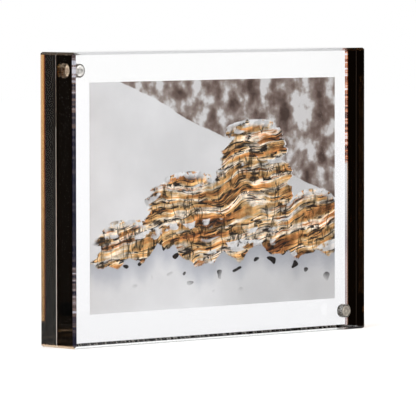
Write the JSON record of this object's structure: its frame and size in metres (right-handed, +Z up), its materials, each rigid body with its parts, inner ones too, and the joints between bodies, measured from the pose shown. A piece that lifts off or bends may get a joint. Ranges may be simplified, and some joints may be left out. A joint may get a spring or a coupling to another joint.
{
  "type": "magnetic display frame",
  "caption": "Free-standing block photo frame: clear bevelled acrylic slabs with dark tinted ends, held round a print by disc magnets in opposite corners.",
  "frame": {"origin": "on the surface the frame stands on, under the middle of its width and depth", "axes": "+X to the viewer's right along the width, +Y from the front face to the back, +Z up"},
  "size_m": [0.1778, 0.0228, 0.1276],
  "materials": {
    "clear_acrylic": "clear cast acrylic, polished faces and bevels",
    "tinted_acrylic": "dark smoke-bronze transparent acrylic, polished",
    "photo_paper": "glossy photo paper with a printed picture on the front, white back",
    "nickel": "nickel-plated disc magnet",
    "cement": "cured clear-white cement"
  },
  "bodies": {
    "rear": {"rear_panel": "clear_acrylic", "rear_left_edge": "tinted_acrylic", "rear_right_edge": "tinted_acrylic", "rear_magnet_top": "nickel", "rear_magnet_bottom": "nickel", "rear_cement_top": "cement", "rear_cement_bottom": "cement"},
    "front": {"front_panel": "clear_acrylic", "front_left_edge": "tinted_acrylic", "front_right_edge": "tinted_acrylic", "front_magnet_top": "nickel", "front_magnet_bottom": "nickel", "front_cement_top": "cement", "front_cement_bottom": "cement"},
    "print": {"photo_print": "photo_paper"}
  },
  "joints": [
    {"name": "front_pull", "type": "slide", "parent": "rear", "child": "front", "axis": [0, -1, 0], "range_m": [0, 0.08]},
    {"name": "print_lift", "type": "slide", "parent": "rear", "child": "print", "axis": [0, 0, 1], "range_m": [0, 0.12]}
  ]
}
